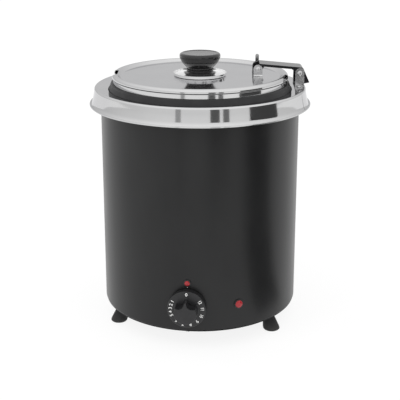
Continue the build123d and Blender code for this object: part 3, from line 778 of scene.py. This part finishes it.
def dial_angle(number):
    """Degrees clockwise from the top, as seen from the front."""
    if number == 0:
        return 0.0
    low = min(number, 5) - 1
    high = max(number - 5, 0)
    return -(FIRST_NUMBER_ANGLE + LOW_STEP * low + HIGH_STEP * high)


def glyph(text, height):
    """A flat text as a mesh, centred, that many millimetres high."""
    curve = bpy.data.curves.new("glyph", "FONT")
    curve.body = text
    curve.align_x = "CENTER"
    curve.offset = INK_SPREAD
    holder = bpy.data.objects.new("glyph", curve)
    bpy.context.scene.collection.objects.link(holder)
    bpy.context.view_layer.update()
    graph = bpy.context.evaluated_depsgraph_get()
    mesh = bpy.data.meshes.new_from_object(holder.evaluated_get(graph))
    bpy.data.objects.remove(holder)
    low = min(v.co.y for v in mesh.vertices)
    high = max(v.co.y for v in mesh.vertices)
    mesh.transform(Matrix.Translation((0, -(low + high) / 2, 0)))
    mesh.transform(Matrix.Scale(height * MM / (high - low), 4))
    return mesh


def dial_numbers():
    """0 to 12 round the dial's skirt, tops outwards, as slightly raised print."""
    marks = bmesh.new()
    for number in range(13):
        mesh = glyph(str(number), DIGIT_HEIGHT)
        if number > 9:
            mesh.transform(Matrix.Diagonal((TWO_DIGIT_WIDTH, 1, 1, 1)))
        mesh.transform(Matrix.Translation((0, DIGIT_RING_R * MM, 0)))
        mesh.transform(Matrix.Rotation(-radians(dial_angle(number)), 4, "Z"))
        marks.from_mesh(mesh)
    top = bmesh.ops.extrude_face_region(marks, geom=marks.faces[:])
    raised = [v for v in top["geom"] if isinstance(v, bmesh.types.BMVert)]
    bmesh.ops.translate(marks, verts=raised, vec=(0, 0, DIGIT_THICKNESS * MM))
    bmesh.ops.recalc_face_normals(marks, faces=marks.faces[:])
    mesh = bpy.data.meshes.new("dial_numbers")
    marks.to_mesh(mesh)
    place = Matrix.Translation((0, DIAL_FACE_Y * MM, DIAL_Z * MM)) @ UPRIGHT
    piece("dial_numbers", mesh, FINISHES["printed_white"], "control", place=place)


# ---- studio, in metres --------------------------------------------------------------------
CAMERA_AZIMUTH = radians(7)
FLOOR_HALF = 30.0
FLOOR_TONE = 0.14
FLOOR_GLOW = 0.86
CARD_DISTANCE = 0.75
CARD_TOP = 0.47
# degrees right of the camera from, to, and the card's own tone
CARDS = ((-22.9, -17.8, 0.45), (9.5, 18.2, 0.13), (21.5, 27.4, 0.20), (47.8, 79.8, 0.06))
CLOTH_NEAR = 0.2              # the cloth's near edge, from the kettle's axis
CLOTH_LIFT = 0.001
CLOTH_TONE = 0.1
LIGHT_SIZE = (0.9, 1.2)
LIGHT_AIM = Vector((0, 0, 0.15))


def plain_finish(name, tone, roughness):
    """A matt grey for the floor and the cards. The shader comes back too, for the floor's glow."""
    material = bpy.data.materials.new(name)
    material.use_nodes = True
    shader = material.node_tree.nodes["Principled BSDF"]
    shader.inputs["Base Color"].default_value = (tone, tone, tone, 1)
    shader.inputs["Roughness"].default_value = roughness
    shader.inputs["Specular IOR Level"].default_value = 0.1
    return material, shader


def flat_sheet(name, corners, material):
    """A flat part of the studio. It doesn't belong to the object."""
    mesh = bpy.data.meshes.new(name)
    mesh.from_pydata(corners, [], [range(len(corners))])
    mesh.materials.append(material)
    item = bpy.data.objects.new(name, mesh)
    bpy.context.scene.collection.objects.link(item)
    return item


def bearing(degrees):
    """The direction on the floor from the kettle's axis, that many degrees right of the camera."""
    a = CAMERA_AZIMUTH + radians(degrees)
    return Vector((sin(a), -cos(a), 0))


def flag(name, corners, tone):
    """A dark card that is seen only as a reflection in the polished steel and the paint."""
    card = flat_sheet(name, corners, plain_finish(name, tone, roughness=0.9)[0])
    card.visible_camera = False
    card.visible_diffuse = False
    card.visible_shadow = False
    card.visible_transmission = False


def cards():
    """Upright flags round the front."""
    up = Vector((0, 0, CARD_TOP))
    for number, (start, end, tone) in enumerate(CARDS):
        left = bearing(start) * CARD_DISTANCE
        right = bearing(end) * CARD_DISTANCE
        flag(f"flag_{number}", [left, right, right + up, left + up], tone)


def cloth():
    """A dark cloth on the floor in front of the widest card, the last."""
    left, right = (bearing(degrees) for degrees in CARDS[-1][:2])
    corners = [left * CLOTH_NEAR, right * CLOTH_NEAR, right * CARD_DISTANCE, left * CARD_DISTANCE]
    flag("flag_cloth", [corner + Vector((0, 0, CLOTH_LIFT)) for corner in corners], CLOTH_TONE)


def floor():
    """A white floor that glows faintly, so that it stays white under the soft light."""
    edge = FLOOR_HALF
    corners = [(-edge, -edge, 0), (edge, -edge, 0), (edge, edge, 0), (-edge, edge, 0)]
    white, shader = plain_finish("floor_white", FLOOR_TONE, roughness=0.8)
    shader.inputs["Emission Color"].default_value = (1, 1, 1, 1)
    shader.inputs["Emission Strength"].default_value = FLOOR_GLOW
    flat_sheet("floor", corners, white)


def soft_box(name, power, place):
    """An area light aimed at the kettle, kept out of the reflections."""
    light = bpy.data.lights.new(name, "AREA")
    light.shape = "RECTANGLE"
    light.size, light.size_y = LIGHT_SIZE
    light.energy = power
    item = bpy.data.objects.new(name, light)
    item.location = place
    item.rotation_euler = (LIGHT_AIM - Vector(place)).to_track_quat("-Z", "Y").to_euler()
    item.visible_glossy = False
    bpy.context.scene.collection.objects.link(item)


def lights():
    soft_box("key_left", power=9, place=(-1.3, -1.0, 1.5))
    soft_box("fill_right", power=5, place=(1.5, -0.9, 1.3))


def ranged(tree, value, start, end, low, high):
    """A value from start to end, mapped to run from low to high."""
    node = tree.nodes.new("ShaderNodeMapRange")
    for name, number in (("From Min", start), ("From Max", end), ("To Min", low), ("To Max", high)):
        node.inputs[name].default_value = number
    tree.links.new(value, node.inputs["Value"])
    return node.outputs[0]


def world():
    """A pale dome, brighter overhead than at the horizon, and towards the kettle's front."""
    sky = bpy.data.worlds.new("studio")
    sky.use_nodes = True
    tree = sky.node_tree
    where = tree.nodes.new("ShaderNodeTexCoord").outputs["Generated"]
    split = tree.nodes.new("ShaderNodeSeparateXYZ")
    tree.links.new(where, split.inputs[0])
    ahead = tree.nodes.new("ShaderNodeVectorMath")
    ahead.operation = "DOT_PRODUCT"
    ahead.inputs[1].default_value = bearing(0)
    tree.links.new(where, ahead.inputs[0])
    overhead = ranged(tree, split.outputs[2], start=-0.1, end=0.8, low=0.72, high=1.1)
    front = ranged(tree, ahead.outputs["Value"], start=-1, end=1, low=0.9, high=1.15)
    both = tree.nodes.new("ShaderNodeMath")
    both.operation = "MULTIPLY"
    tree.links.new(overhead, both.inputs[0])
    tree.links.new(front, both.inputs[1])
    tree.links.new(both.outputs[0], tree.nodes["Background"].inputs["Strength"])
    tree.nodes["Background"].inputs["Color"].default_value = (1, 1, 1, 1)
    bpy.context.scene.world = sky
    bpy.context.scene.view_settings.view_transform = "Standard"


# ---- camera -------------------------------------------------------------------------------
SENSOR = 36.0                 # millimetres
IMAGE_SIDE = 400              # pixels
FOCAL_PIXELS = 911.5
CAMERA_DISTANCE = 1.158
CAMERA_HEIGHT = 0.545
CAMERA_PITCH = radians(15.69)
CAMERA_SHIFT = -0.12


def camera():
    """Looks down a little from the front. The small shift sets the kettle's height in the frame."""
    view = bpy.data.cameras.new("camera")
    view.sensor_width = SENSOR
    view.lens = FOCAL_PIXELS * SENSOR / IMAGE_SIDE
    view.shift_y = CAMERA_SHIFT
    item = bpy.data.objects.new("camera", view)
    item.location = bearing(0) * CAMERA_DISTANCE + Vector((0, 0, CAMERA_HEIGHT))
    item.rotation_euler = (pi / 2 - CAMERA_PITCH, 0, CAMERA_AZIMUTH)
    bpy.context.scene.collection.objects.link(item)
    bpy.context.scene.camera = item


dress_cad_nodes()
collar()
seat()
lid()
dish()
knob()
spot_welds()
ear_bends()
lamp_bezels()
index_mark()
casing_seam()
blanket()
dial_numbers()
floor()
cards()
cloth()
lights()
world()
camera()
